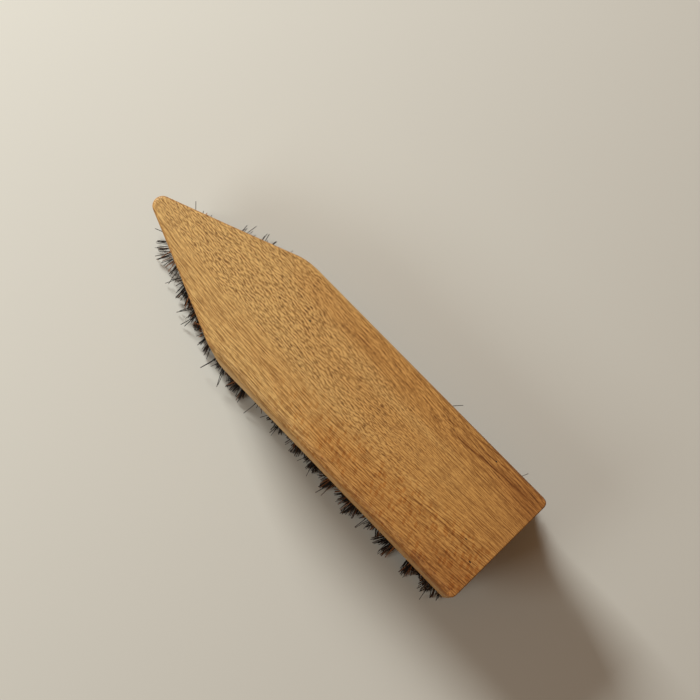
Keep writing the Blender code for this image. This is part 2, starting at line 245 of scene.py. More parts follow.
# Hairs: their place in the hole, curve, thickness and colour draw
LEVEL_MARGIN = 0.01 * MM
ROOT_DEPTH = 3 * MM
ROOT_REACH = 2.3 * MM
ROOT_SCATTER_SHARE = 0.3
STRAY_ROOT_SCATTER = 0.9 * MM
LEAST_LEAN = 1 * MM
HAIR_STEPS = 5
HAIR_CURVE_POWER = 1.7
HAIR_SIDES = 3
TAPER_POWER = 1.5
THICKNESS_SHARES = (0.8, 1.2)
STRAY_REACH_SHARES = (0.2, 1.0)
CLUMP_TONE = 0.04
STRAY_TONE_SHARE = 0.65


def colour_prop(name, description, default):
    """A colour setting with a colour picker."""
    return FloatVectorProperty(
        name=name, description=description, default=default, subtype="COLOR", size=3, min=0, max=1
    )


def number_prop(name, description, default, **kind):
    """A number setting, with a unit or a subtype where one fits."""
    return FloatProperty(name=name, description=description, default=default, **kind)


def length_prop(name, description, default):
    """A length setting."""
    return number_prop(name, description, default, unit="LENGTH", precision=5)


def angle_prop(name, description, degrees):
    """An angle setting, given in degrees."""
    return number_prop(name, description, math.radians(degrees), subtype="ANGLE")


class BlockSettings(bpy.types.PropertyGroup):
    """The outline and the edges of the oak block."""

    nose_length: length_prop("Nose length", "From the shoulders' corner to the tip", 0.0569)
    tip_radius: length_prop("Tip radius", "Rounding of the nose's tip, seen from above", 0.0038)
    nose_bulge: length_prop("Nose bulge", "How far the nose's edges swell at their middle", -0.0001)
    shoulder_radius: length_prop("Shoulder radius", "Rounding of the shoulders", 0.0262)
    corner_radius: length_prop("Corner radius", "Rounding of the blunt end's corners", 0.0028)
    left_round: length_prop("Left rounding", "Edge rounding along the left side", 0.0037)
    right_round: length_prop("Right rounding", "Edge rounding along the right side", 0.0024)
    nose_round: length_prop("Nose rounding", "Edge rounding along the nose", 0.0014)
    end_round: length_prop("End rounding", "Edge rounding across the blunt end", 0.0004)
    lower_round: length_prop("Lower rounding", "Rounding of the stock's lower edge", 0.0008)
    joint_round: length_prop("Joint rounding", "Easing of both boards at the glue line", 0.00012)
    hole_radius: length_prop("Hole radius", "Radius of a tuft's hole", 0.0028)
    hole_depth: length_prop("Hole depth", "How deep a tuft's hole can be seen", 0.0070)


class OakSettings(bpy.types.PropertyGroup):
    """The oak's colours and the scale of its grain."""

    honey: colour_prop("Honey", "The ground colour at the nose", (0.656, 0.392, 0.137))
    amber: colour_prop("Amber", "The ground colour along the middle", (0.574, 0.283, 0.078))
    russet: colour_prop("Russet", "The ground colour at the blunt end's corners", (0.410, 0.170, 0.042))
    umber: colour_prop("Umber", "What dark lines leave of the ground colour", (0.40, 0.28, 0.18))
    pore: colour_prop("Pores", "What the open pores leave of the ground colour", (0.25, 0.16, 0.10))
    fleck: colour_prop("Flecks", "What the ray flecks leave of the ground colour", (0.74, 0.54, 0.34))
    # Painted highlight: the pale colour painted on the walls, for the light they catch
    wall: colour_prop("Walls", "The pale wood that shows on the walls", (0.72, 0.45, 0.15))
    # Painted shade: what multiplies the walls' colour towards the blunt end, for the shade there
    end_wall_shade: colour_prop("Worn walls", "What handling leaves of the walls at the end", (0.76, 0.68, 0.52))
    # Painted shade: this darkens the nose's rim and the band inside its edges, for the shade on their
    # rounding
    tip: colour_prop("Worn tip", "What handling leaves of the nose's rim", (0.74, 0.64, 0.54))
    speck: colour_prop("Specks", "Pin holes in the face", (0.012, 0.008, 0.006))
    pore_length: length_prop("Pore length", "Spacing of the pores along the grain", 0.0026)
    pore_width: length_prop("Pore width", "Spacing of the pores across the grain", 0.00056)
    line_length: length_prop("Line length", "Spacing of the dark lines along the grain", 0.0075)
    line_width: length_prop("Line width", "Spacing of the dark lines across the grain", 0.00058)
    fibre_length: length_prop("Fibre length", "Length of the fine fibres", 0.0022)
    fibre_width: length_prop("Fibre width", "Width of the fine fibres", 0.00046)
    grain_lean: number_prop("Grain lean", "Slope of the grain on the right side", -0.037)
    grain_bow: number_prop("Grain bow", "Curve of the grain on the left side, in 1/m", -0.6075)
    ring_spacing: length_prop("Ring spacing", "Distance between growth rings on the end grain", 0.0021)
    pith_depth: length_prop("Pith depth", "From the block's upper face down to the tree's pith", 0.085)


class HairSettings(bpy.types.PropertyGroup):
    """The number, size and colours of the hairs."""

    count: IntProperty(name="Hairs", description="Hairs in each tuft", default=170, min=1)
    locks: IntProperty(name="Locks", description="Locks that a tuft's hairs gather in", default=60, min=1)
    root_radius: length_prop("Root radius", "Radius of a hair in its hole", 0.00017)
    tip_radius: length_prop("Tip radius", "Radius of a hair at its end", 0.00015)
    wander: length_prop("Wander", "How far a hair's end strays from its place", 0.0005)
    tuft_wander: length_prop("Tuft wander", "How far a whole tuft's end strays from its place", 0.0004)
    fan: number_prop("Fan", "How much wider a leaning tuft fans along the edge", 0.65, subtype="FACTOR")
    bend: length_prop("Bend", "How far a hair bows between its ends", 0.0005)
    trim: length_prop("Trim", "How uneven the trimmed ends are", 0.0006)
    stray_reach: length_prop("Stray reach", "How much further out a stray hair ends", 0.0028)
    stray_lift: length_prop("Stray lift", "How far a stray hair's end can stand off the floor", 0.006)
    stray_share: number_prop("Strays", "Share of hairs that stick out", 0.05, subtype="FACTOR")
    seed: IntProperty(name="Seed", description="Start of the random draws", default=11)
    black: colour_prop("Black hair", "Most of the hairs", (0.004, 0.003, 0.003))
    brown: colour_prop("Brown hair", "The dark brown hairs", (0.070, 0.030, 0.014))
    chestnut: colour_prop("Chestnut hair", "The few reddish hairs", (0.330, 0.115, 0.036))


class StageSettings(bpy.types.PropertyGroup):
    """The floor, the lamps and the camera."""

    floor: colour_prop("Floor", "The pale floor", (0.60, 0.555, 0.485))
    floor_size: length_prop("Floor size", "Side of the square floor", 3.0)
    sky: colour_prop("Sky", "Colour of the even light", (1.0, 0.63, 0.37))
    sky_strength: number_prop("Sky strength", "Strength of the even light", 0.185)
    backdrop: colour_prop("Backdrop", "What is seen past the floor", (0.60, 0.555, 0.485))
    key_colour: colour_prop("Key colour", "Colour of the key lamp", (0.91, 0.98, 1.0))
    key_power: number_prop("Key power", "Power of the key lamp", 20.9, unit="POWER")
    key_distance: length_prop("Key distance", "From the brush to the key lamp", 1.25)
    key_size: length_prop("Key size", "Side of the key lamp", 0.375)
    key_azimuth: angle_prop("Key azimuth", "Bearing of the key lamp from +X", -13.4)
    key_elevation: angle_prop("Key elevation", "Height of the key lamp above the floor", 30.2)
    fill_colour: colour_prop("Fill colour", "Colour of the fill lamp", (0.88, 0.98, 1.0))
    fill_power: number_prop("Fill power", "Power of the fill lamp", 1.75, unit="POWER")
    fill_distance: length_prop("Fill distance", "From the brush to the fill lamp", 0.80)
    fill_size: length_prop("Fill size", "Side of the fill lamp", 0.35)
    fill_azimuth: angle_prop("Fill azimuth", "Bearing of the fill lamp from +X", 68)
    fill_elevation: angle_prop("Fill elevation", "Height of the fill lamp above the floor", 45)
    view_distance: length_prop("Camera distance", "From the camera to the block's top", 0.4700)
    view_tilt: angle_prop("Camera tilt", "How far the view leans from straight down", 11.21)
    view_bearing: angle_prop("Camera bearing", "Bearing of the camera from its target", 136.51)
    view_roll: angle_prop("Camera roll", "Turn of the picture about the line of sight", -43.97)
    target_x: length_prop("Target X", "Where the view aims", -0.00152)
    target_y: length_prop("Target Y", "Where the view aims", -0.01197)
    lens: number_prop("Lens", "Focal length in millimetres", 66.83)


class NodeTree:
    """Adds shader nodes to one tree.  Inputs are sockets or plain values."""

    def __init__(self, tree):
        self.tree = tree

    def put(self, kind, inputs=None, **settings):
        """Add a node with the given inputs, by name or number."""
        node = self.tree.nodes.new(kind)
        for name, value in settings.items():
            setattr(node, name, value)
        for name, value in (inputs or {}).items():
            self.feed(node.inputs[name], value)
        return node

    def feed(self, socket, value):
        """Link a socket, or set its plain value."""
        if isinstance(value, bpy.types.NodeSocket):
            self.tree.links.new(value, socket)
        else:
            socket.default_value = value

    def math(self, operation, first, second=0.0, third=0.0):
        """One sum."""
        node = self.put("ShaderNodeMath", {0: first, 1: second, 2: third}, operation=operation)
        return node.outputs[0]

    def times(self, first, second):
        """Two values multiplied."""
        return self.math("MULTIPLY", first, second)

    def plus(self, first, second):
        """Two values added."""
        return self.math("ADD", first, second)

    def minus(self, first, second):
        """The second value taken from the first."""
        return self.math("SUBTRACT", first, second)

    def most(self, first, second):
        """The larger of two values."""
        return self.math("MAXIMUM", first, second)

    def vector(self, operation, first, second):
        """One vector sum, as a vector."""
        return self.put("ShaderNodeVectorMath", {0: first, 1: second}, operation=operation).outputs[0]

    def axes(self, way):
        """The X, Y and Z of a vector."""
        return tuple(self.put("ShaderNodeSeparateXYZ", {0: way}).outputs)

    def reach(self, way):
        """The length of a vector."""
        return self.put("ShaderNodeVectorMath", {0: way}, operation="LENGTH").outputs["Value"]

    def cells(self, place, length, width):
        """Coordinates in cells of this length and width."""
        return self.vector("MULTIPLY", place, (1 / length, 1 / width, 1 / width))

    def noise(self, place, detail, output="Fac"):
        """Smooth noise from 0 to 1, one swell to a unit."""
        node = self.put("ShaderNodeTexNoise", {"Vector": place, "Scale": 1.0, "Detail": detail})
        return node.outputs[output]

    def swells(self, place, to_a_metre, detail, output="Fac"):
        """Smooth noise, with so many swells to a metre along each axis."""
        return self.noise(self.vector("MULTIPLY", place, to_a_metre), detail, output)

    def fade(self, value, low, high, start=0.0, end=1.0):
        """A smooth step from start to end as value goes from low to high."""
        inputs = {"Value": value, "From Min": low, "From Max": high, "To Min": start, "To Max": end}
        return self.put("ShaderNodeMapRange", inputs, interpolation_type="SMOOTHSTEP").outputs[0]

    def mix(self, factor, first, second, blend="MIX"):
        """Blend two colours."""
        node = self.put("ShaderNodeMix", data_type="RGBA", blend_type=blend)
        for index, value in ((0, factor), (6, first), (7, second)):
            self.feed(node.inputs[index], value)
        return node.outputs[2]


class Finish(NodeTree):
    """The nodes of one new material."""

    def __init__(self, name):
        self.material = bpy.data.materials.new(name)
        self.material.use_nodes = True
        super().__init__(self.material.node_tree)
        self.shader = self.tree.nodes["Principled BSDF"]

    def cover(self, colour, roughness, specular=None):
        """Give the shader its colour, roughness and gloss."""
        self.feed(self.shader.inputs["Base Color"], colour)
        self.feed(self.shader.inputs["Roughness"], roughness)
        if specular is not None:
            self.shader.inputs["Specular IOR Level"].default_value = specular


def rgba(colour):
    """A colour setting as four numbers."""
    return (*colour, 1.0)


def grain_place(oak, settings):
    """The plain coordinates, and those along the grain, which leans on the right and bows on the left."""
    place = oak.put("ShaderNodeTexCoord").outputs["Object"]
    x, y, _ = oak.axes(place)
    lean = oak.times(x, settings.grain_lean)
    bow = oak.times(oak.times(x, x), settings.grain_bow)
    left = oak.fade(y, *GRAIN_BOW_BY_Y)
    drift = oak.plus(lean, oak.times(left, oak.minus(bow, lean)))
    shift = oak.put("ShaderNodeCombineXYZ", {1: oak.times(drift, -1)}).outputs[0]
    swell = oak.swells(place, SWAY_SWELLS, 1.0, "Color")
    swell = oak.vector("SUBTRACT", swell, (0.5, 0.5, 0.5))
    shift = oak.vector("ADD", shift, oak.vector("MULTIPLY", swell, (0, SWAY, 0)))
    return place, oak.vector("ADD", place, shift)


def dashes(oak, wavy, length, width, size):
    """Separate straight dashes, each of its own depth.  Length and width are their spacing."""
    spot = oak.cells(wavy, length, width)
    cell = oak.put("ShaderNodeTexVoronoi", {"Vector": spot, "Scale": 1.0, "Randomness": DASH_SCATTER})
    dash = oak.fade(cell.outputs["Distance"], size * DASH_CORE, size, 1.0, 0.0)
    draw = oak.put("ShaderNodeSeparateColor", {0: cell.outputs["Color"]}).outputs[0]
    return oak.times(dash, oak.fade(draw, *DEPTH_BY_DRAW))


def fibres(oak, wavy, calm, settings):
    """Fine fibres, longer where the figure is calm.

    Each is the difference of two places side by side, so no wider bands come with them.
    """
    swells = []
    for length in (settings.fibre_length, settings.fibre_length * CALM_FIBRE_LENGTH):
        spot = oak.cells(wavy, length, settings.fibre_width)
        beside = oak.vector("ADD", spot, (0, FIBRE_SPLIT, 0))
        swells.append(oak.minus(oak.noise(spot, 1.0), oak.noise(beside, 1.0)))
    lively, quiet = swells
    swell = oak.plus(lively, oak.times(calm, oak.minus(quiet, lively)))
    return oak.times(oak.fade(swell, *FIBRES_BY_SWELL), oak.fade(calm, *FIBRES_BY_CALM))


def dark_line(oak, place, wobble, start, end, bow, half_width):
    """A dark line between two places on the face, given as (x, y), that bows between them."""
    x, y, _ = oak.axes(place)
    share = oak.math("DIVIDE", oak.minus(x, start[0]), end[0] - start[0])
    middle = oak.math("MULTIPLY_ADD", share, end[1] - start[1], start[1])
    swell = oak.times(share, oak.minus(1.0, share))
    middle = oak.math("MULTIPLY_ADD", swell, 4 * bow, middle)
    off = oak.minus(y, oak.plus(middle, wobble))
    band = oak.fade(oak.math("ABSOLUTE", off), 0.0, half_width, 1.0, 0.0)
    return oak.times(band, oak.times(oak.fade(share, *DARK_LINE_RISE), oak.fade(share, *DARK_LINE_FALL)))


def pin_hole(oak, place, x, y, radius):
    """A pin-sized dark hole in the cover board's face, longer along the grain."""
    _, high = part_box("cover_board")
    away = oak.vector("SUBTRACT", place, (x, y, high.z))
    away = oak.vector("MULTIPLY", away, (0.6, 1, 1))
    return oak.fade(oak.reach(away), radius * 0.6, radius, 1.0, 0.0)


def ground_colour(oak, place, wavy, settings):
    """The wood's ground colour, honey at the nose, amber along the middle, russet at the end's corners:
    partly the wood's tone, partly painted shade for light falling off towards the end.
    """
    x, y, _ = oak.axes(place)
    share = oak.plus(oak.fade(x, *TONE_BY_X), oak.fade(x, *END_TONE_BY_X))
    left = oak.times(oak.fade(y, *LEFT_TONE_BY_Y), oak.fade(x, *LEFT_TONE_BY_X))
    right = oak.times(oak.fade(y, *RIGHT_TONE_BY_Y), oak.fade(x, *RIGHT_TONE_BY_X))
    right = oak.times(right, oak.fade(x, *RIGHT_END_TONE_BY_X))
    share = oak.plus(oak.plus(share, left), right)
    slow = oak.swells(wavy, TONE_SWELLS, 2.0)
    share = oak.plus(share, oak.fade(slow, 0.30, 0.70, -0.05, 0.05))
    wood = oak.mix(oak.fade(share, 0.0, 0.42), rgba(settings.honey), rgba(settings.amber))
    return oak.mix(oak.fade(share, 0.36, 1.0), wood, rgba(settings.russet))


def pores(oak, wavy, calm, settings):
    """The open pores: short dashes in two sizes, fewer where the figure is calm."""
    length, width = settings.pore_length, settings.pore_width
    short = dashes(oak, wavy, length, width, PORE_SIZE)
    fine = dashes(oak, wavy, length * FINE_PORE_SPACING, width * FINE_PORE_SPACING, FINE_PORE_SIZE)
    crowd = oak.fade(oak.noise(oak.cells(wavy, *CROWD), 1.0), *CROWD_BY_SWELL)
    deep = oak.times(oak.most(short, oak.times(fine, FINE_PORE_DEPTH)), oak.fade(crowd, *PORES_BY_CROWD))
    return oak.times(deep, oak.fade(calm, *PORES_BY_CALM))


def lines(oak, wavy, calm, settings):
    """Dark lines that run on along the grain, more of them where the figure is calm."""
    length, width = settings.line_length, settings.line_width
    thin = dashes(oak, wavy, length, width, LINE_SIZE)
    long = dashes(oak, wavy, length * LONG_LINE_LENGTH, width * LONG_LINE_WIDTH, LONG_LINE_SIZE)
    return oak.times(oak.most(thin, oak.times(long, LONG_LINE_DEPTH)), oak.fade(calm, *LINES_BY_CALM))


def dark_streaks(oak, place, wavy, right):
    """Brown streaks near the right side, and the single dark lines of the face."""
    dark = oak.times(right, dashes(oak, wavy, *STREAKS))
    dark = oak.times(dark, STREAK_DEPTH)
    wobble = oak.fade(oak.swells(place, WOBBLE_SWELLS, 1.0), 0.2, 0.8, -WOBBLE, WOBBLE)
    for start, end, bow, half_width, depth in DARK_LINES:
        line = dark_line(oak, place, wobble, start, end, bow, half_width)
        dark = oak.most(dark, oak.times(line, depth))
    return dark


def painted_light(oak, place, facing, wood, settings):
    """Painted light: paler walls and a paler right rim as painted highlights; a darker nose rim and walls
    darker towards the blunt end as painted shade.
    """
    x, y, _ = oak.axes(place)
    _, across, up = facing
    nose = oak.fade(x, *NOSE_BY_X)
    # Painted highlight: the right rim, away from the nose, is painted towards honey for the key lamp's
    # light on its rounding
    side = oak.times(oak.fade(up, *RIGHT_RIM_HIGHLIGHT_BY_UP), oak.minus(1.0, nose))
    right = oak.times(side, oak.fade(across, *RIGHT_RIM_HIGHLIGHT_BY_FACING))
    right = oak.times(right, oak.fade(x, *RIGHT_RIM_HIGHLIGHT_BY_X))
    wood = oak.mix(right, wood, rgba(settings.honey))
    # Painted shade: the nose's rim and a band just inside its edges are darkened, for the shade on the
    # rounding
    depth = oak.math("MULTIPLY_ADD", x, -NOSE_LINE_X_SHARE, NOSE_LINE_DEPTH)
    depth = oak.math("MULTIPLY_ADD", oak.math("ABSOLUTE", y), -NOSE_LINE_Y_SHARE, depth)
    line = oak.most(oak.fade(y, *NOSE_LINE_SHADE_BY_Y), oak.fade(x, *NOSE_LINE_SHADE_BY_X))
    line = oak.times(line, oak.fade(depth, *NOSE_LINE_SHADE_BY_DEPTH))
    rim = oak.most(oak.fade(up, *NOSE_RIM_SHADE_BY_UP), line)
    wood = oak.mix(oak.times(rim, nose), wood, rgba(settings.tip), "MULTIPLY")
    # Painted highlight: the walls are painted paler, for the light they catch
    wood = oak.mix(oak.fade(up, *WALL_HIGHLIGHT_BY_UP), wood, rgba(settings.wall))
    # Painted shade: the walls and their rounding are darkened towards the blunt end
    end_wall_shade = oak.times(oak.fade(up, *END_WALL_SHADE_BY_UP), oak.fade(x, *END_WALL_SHADE_BY_X))
    return oak.mix(end_wall_shade, wood, rgba(settings.end_wall_shade), "MULTIPLY")


def end_grain(oak, place, facing, wood, settings):
    """Ring arcs and open pores on the blunt end, darker there than on the faces."""
    pith = (0, PITH_SIDE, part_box("cover_board")[1].z - settings.pith_depth)
    radius = oak.reach(oak.vector("MULTIPLY", oak.vector("SUBTRACT", place, pith), (0, 1, 1)))
    radius = oak.plus(radius, oak.times(oak.swells(place, RING_SWELLS, 2.0), RING_WAVER))
    ring = oak.math("PINGPONG", radius, settings.ring_spacing)
    ring = oak.fade(ring, settings.ring_spacing * 0.45, settings.ring_spacing)
    holes = oak.fade(oak.swells(place, END_PORE_SWELLS, 1.0), 0.54, 0.62)
    holes = oak.times(holes, oak.fade(ring, 0.0, 1.0, 0.25, 1.0))
    at_end = oak.fade(oak.math("ABSOLUTE", facing[0]), *END_GRAIN_BY_FACING)
    dark = oak.most(oak.plus(oak.times(ring, 0.50), 0.20), holes)
    return oak.mix(oak.times(dark, at_end), wood, rgba(settings.umber), "MULTIPLY")


def oiled_oak(settings):
    """Oiled oak: a honey ground, dark pores and lines, streaks, ray flecks and pin holes."""
    oak = Finish("oiled_oak")
    place, wavy = grain_place(oak, settings)
    x, y, _ = oak.axes(wavy)
    left = oak.fade(y, *CALM_BY_Y)
    right = oak.times(oak.fade(y, *STREAKS_BY_Y), oak.fade(x, *STREAKS_BY_X))
    calm = oak.most(left, oak.fade(x, *CALM_BY_X))
    calm = oak.most(calm, oak.times(right, STREAK_CALM))

    deep = pores(oak, wavy, calm, settings)
    wood = oak.mix(deep, ground_colour(oak, place, wavy, settings), rgba(settings.pore), "MULTIPLY")
    for dark in (
        oak.times(lines(oak, wavy, calm, settings), LINES_DEPTH),
        oak.times(fibres(oak, wavy, calm, settings), FIBRES_DEPTH),
        dark_streaks(oak, place, wavy, right),
    ):
        wood = oak.mix(dark, wood, rgba(settings.umber), "MULTIPLY")

    inputs = {"Vector": wavy, "Angle": FLECK_TURN}
    turned = oak.put("ShaderNodeVectorRotate", inputs, rotation_type="Z_AXIS").outputs[0]
    flecks = dashes(oak, turned, *FLECKS)
    flecks = oak.times(flecks, oak.times(left, oak.fade(x, *FLECKS_BY_X)))
    wood = oak.mix(flecks, wood, rgba(settings.fleck), "MULTIPLY")
    for speck_x, speck_y, radius in SPECKS:
        wood = oak.mix(pin_hole(oak, place, speck_x, speck_y, radius), wood, rgba(settings.speck))
    facing = oak.axes(oak.put("ShaderNodeTexCoord").outputs["Normal"])
    wood = painted_light(oak, place, facing, wood, settings)
    wood = end_grain(oak, place, facing, wood, settings)

    roughness = oak.most(oak.fade(deep, 0.0, 1.0, 0.46, 0.70), oak.fade(facing[2], *DULL_BY_UP))
    oak.cover(wood, roughness, 0.20)
    inputs = {"Height": oak.minus(1.0, deep), "Distance": PORE_RELIEF, "Strength": 0.6}
    oak.feed(oak.shader.inputs["Normal"], oak.put("ShaderNodeBump", inputs).outputs[0])
    return oak.material


def mixed_hair(settings):
    """Coarse hair: mostly black, some brown and a few chestnut, by each hair's own draw."""
    hair = Finish("mixed_hair")
    draw = hair.put("ShaderNodeAttribute", attribute_name="hair_draw").outputs["Fac"]
    along = hair.put("ShaderNodeAttribute", attribute_name="hair_along").outputs["Fac"]
    tone = hair.mix(hair.fade(draw, 0.62, 0.78), rgba(settings.black), rgba(settings.brown))
    tone = hair.mix(hair.fade(draw, 0.84, 0.90), tone, rgba(settings.chestnut))
    tone = hair.mix(hair.fade(along, 0.6, 1.0, 0.0, 0.12), tone, rgba(settings.brown))
    hair.cover(tone, hair.fade(draw, 0.0, 1.0, 0.45, 0.60), 0.06)
    return hair.material


def brass_wire():
    """Drawn brass, dulled in patches."""
    brass = Finish("brass_wire")
    place = brass.put("ShaderNodeTexCoord").outputs["Object"]
    patch = brass.swells(place, BRASS_SWELLS, 2.0)
    tone = brass.mix(brass.fade(patch, 0.4, 0.7), BRIGHT_BRASS, DULLED_BRASS)
    brass.cover(tone, brass.fade(patch, 0.3, 0.7, 0.28, 0.5))
    brass.shader.inputs["Metallic"].default_value = 1.0
    return brass.material


def arc(centre, radius, start, end, steps):
    """Points along a circular arc, both ends included."""
    angles = [start + (end - start) * step / steps for step in range(steps + 1)]
    return [centre + radius * Vector((math.cos(angle), math.sin(angle))) for angle in angles]


def run(start, end, steps):
    """Points between two places, without the two."""
    return [start.lerp(end, step / steps) for step in range(1, steps)]


def block_outline(block):
    """The block's outline from above, anticlockwise from the tip."""
    low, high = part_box("cover_board")
    half_width = high.y
    shoulder = Vector((high.x - block.nose_length, half_width))
    tip_centre = Vector((high.x - block.tip_radius, 0))
    reach = tip_centre - shoulder
    heading = math.atan2(reach.y, reach.x) + math.asin(block.tip_radius / reach.length)
    edge = Vector((math.cos(heading), math.sin(heading)))
    tangent_end = shoulder + edge * math.sqrt(reach.length ** 2 - block.tip_radius ** 2)
    normal_angle = heading + math.pi / 2
    normal = Vector((math.cos(normal_angle), math.sin(normal_angle)))
    setback = block.shoulder_radius * math.tan((math.pi / 2 - normal_angle) / 2)
    round_start = Vector((shoulder.x - setback, half_width))
    round_centre = round_start - Vector((0, block.shoulder_radius))
    round_end = shoulder + edge * setback
    corner = Vector((low.x + block.corner_radius, half_width - block.corner_radius))

    left = arc(tip_centre, block.tip_radius, 0, normal_angle, TIP_STEPS)
    for step in range(NOSE_EDGE_STEPS - 1, 0, -1):
        share = step / NOSE_EDGE_STEPS
        swell = normal * block.nose_bulge * 4 * share * (1 - share)
        left.append(round_end.lerp(tangent_end, share) + swell)
    left += arc(round_centre, block.shoulder_radius, normal_angle, math.pi / 2, SHOULDER_STEPS)
    left += run(round_start, Vector((corner.x, half_width)), SIDE_STEPS)
    left += arc(corner, block.corner_radius, math.pi / 2, math.pi, CORNER_STEPS)
    left += run(Vector((low.x, corner.y)), Vector((low.x, 0)), HALF_END_STEPS)
    left.append(Vector((low.x, 0)))
    right = [Vector((point.x, -point.y)) for point in reversed(left[1:-1])]
    return left + right


def outline_normals(points):
    """Outward normals at the corners of an anticlockwise outline."""
    normals = []
    for index, point in enumerate(points):
        before = (point - points[index - 1]).normalized()
        after = (points[(index + 1) % len(points)] - point).normalized()
        along = (before + after).normalized()
        normals.append(Vector((along.y, -along.x)))
    return normals


def smooth(value):
    """A smooth step, held between 0 and 1."""
    value = min(max(value, 0.0), 1.0)
    return value * value * (3 - 2 * value)


def cover_rounds(block, normal):
    """The cover board's lower and upper edge rounding where the outline faces this way."""
    to_end = smooth((-normal.x - END_ROUND_FROM) / END_ROUND_SPAN)
    to_nose = smooth(normal.x / NOSE_ROUND_SPAN)
    long_side = block.left_round if normal.y > 0 else block.right_round
    side = long_side + (block.nose_round - long_side) * to_nose
    return block.joint_round, side + (block.end_round - side) * to_end


def stock_rounds(block, _):
    """The stock's lower and upper edge rounding, the same all round."""
    return block.lower_round, block.joint_round


def rounded_rings(points, normals, radii, edge_level, inward, steps):
    """Rings over a rounded edge, from the wall to the face.  Inward is 1 upwards and -1 downwards."""
    rings = []
    for step in range(steps + 1):
        angle = math.pi / 2 * step / steps
        ring = []
        for point, normal, radius in zip(points, normals, radii):
            place = point - normal * radius * (1 - math.cos(angle))
            ring.append((place.x, place.y, edge_level - inward * radius * (1 - math.sin(angle))))
        rings.append(ring)
    return rings


def loft(bm, rings):
    """Skin a stack of rings into one closed body, lowest ring first."""
    loops = [[bm.verts.new(point) for point in ring] for ring in rings]
    bm.faces.new(list(reversed(loops[0])))
    for lower, upper in zip(loops, loops[1:]):
        for index in range(len(lower)):
            bm.faces.new((lower[index - 1], lower[index], upper[index], upper[index - 1]))
    bm.faces.new(loops[-1])


def inner_ring(ring, normals):
    """A ring just inside another one, on the same level."""
    inner = []
    for (x, y, z), normal in zip(ring, normals):
        inner.append((x - normal.x * FACE_MARGIN, y - normal.y * FACE_MARGIN, z))
    return inner


def new_object(data):
    """An object with this data and its name, linked into the scene."""
    made = bpy.data.objects.new(data.name, data)
    bpy.context.scene.collection.objects.link(made)
    return made


def add_piece(mesh, material):
    """Put a mesh in the scene as a piece that rides on the brush's one body."""
    mesh.materials.append(material)
    piece = new_object(mesh)
    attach(piece, BODY)
    return piece


def mesh_from(bm, name):
    """Turn an edit mesh into a smooth-shaded mesh with crisp corners, and free it."""
    mesh = bpy.data.meshes.new(name)
    bm.normal_update()
    bm.to_mesh(mesh)
    bm.free()
    mesh.shade_smooth()
    mesh.set_sharp_from_angle(angle=CREASE_ANGLE)
    return mesh


def board_mesh(name, block, rounds, lower_level, upper_level):
    """One board with rounded edges and a narrow flat margin on each face."""
    points = block_outline(block)
    normals = outline_normals(points)
    lower_radii, upper_radii = zip(*[rounds(block, normal) for normal in normals])
    lower = rounded_rings(points, normals, lower_radii, lower_level, -1, LOWER_ROUND_STEPS)[::-1]
    upper = rounded_rings(points, normals, upper_radii, upper_level, 1, UPPER_ROUND_STEPS)
    bm = bmesh.new()
    loft(bm, [inner_ring(lower[0], normals), *lower, *upper, inner_ring(upper[-1], normals)])
    return mesh_from(bm, name)


def glue_level():
    """The middle of the gap between the two boards."""
    return (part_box("stock")[1].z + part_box("cover_board")[0].z) / 2


def tuft_names():
    """The frame's tufts, in order."""
    return sorted(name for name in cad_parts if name.startswith("tuft_"))


def tuft_facts(name):
    """A tuft's place in the stock, where its hair ends on average, and how far the ends spread."""
    points = np.array([vertex.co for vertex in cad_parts[name].data.vertices])
    levels = points[:, 2]
    top = points[levels > levels.max() - LEVEL_MARGIN]
    ends = points[levels < levels.min() + LEVEL_MARGIN][:, :2]
    place = Vector((top.min(axis=0) + top.max(axis=0))[:2] / 2)
    middle = ends.mean(axis=0)
    spread = np.linalg.norm(ends - middle, axis=1).mean()
    return place, Vector(middle), float(spread)


class SHOEBRUSH_OT_cover_board(bpy.types.Operator):
    """Shape the cover board with its rounded upper edge"""

    bl_idname = "shoe_brush.cover_board"
    bl_label = "Shape Cover Board"

    def execute(self, context):
        block = context.scene.shoe_brush_block
        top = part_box("cover_board")[1].z
        mesh = board_mesh("oak_cover_board", block, cover_rounds, glue_level(), top)
        cover = add_piece(mesh, oiled_oak(context.scene.shoe_brush_oak))
        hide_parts("cover_board")
        return {"FINISHED"}


class SHOEBRUSH_OT_stock(bpy.types.Operator):
    """Shape the stock and bore a round hole for each tuft"""

    bl_idname = "shoe_brush.stock"
    bl_label = "Bore Stock"

    def execute(self, context):
        block = context.scene.shoe_brush_block
        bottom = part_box("stock")[0].z
        mesh = board_mesh("oak_stock", block, stock_rounds, bottom, glue_level())
        material = bpy.data.objects["oak_cover_board"].data.materials[0]
        stock = add_piece(mesh, material)
        self.bore(stock, block, bottom)
        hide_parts("stock")
        return {"FINISHED"}

    def bore(self, stock, block, bottom):
        """Cut the holes from below, and keep the result in the mesh."""
        bm = bmesh.new()
        for name in tuft_names():
            place, _, _ = tuft_facts(name)
            circle = arc(place, block.hole_radius, 0, 2 * math.pi, HOLE_SIDES)[:-1]
            levels = (bottom - HOLE_OVERRUN, bottom + block.hole_depth)
            loft(bm, [[(point.x, point.y, level) for point in circle] for level in levels])
        cutter = new_object(mesh_from(bm, "hole_cutter"))
        cut = stock.modifiers.new("holes", "BOOLEAN")
        cut.operation = "DIFFERENCE"
        cut.object = cutter
        seen = stock.evaluated_get(bpy.context.evaluated_depsgraph_get())
        bored = bpy.data.meshes.new_from_object(seen)
        stock.modifiers.clear()
        stock.data = bored
        bored.set_sharp_from_angle(angle=CREASE_ANGLE)
        bpy.data.objects.remove(cutter)


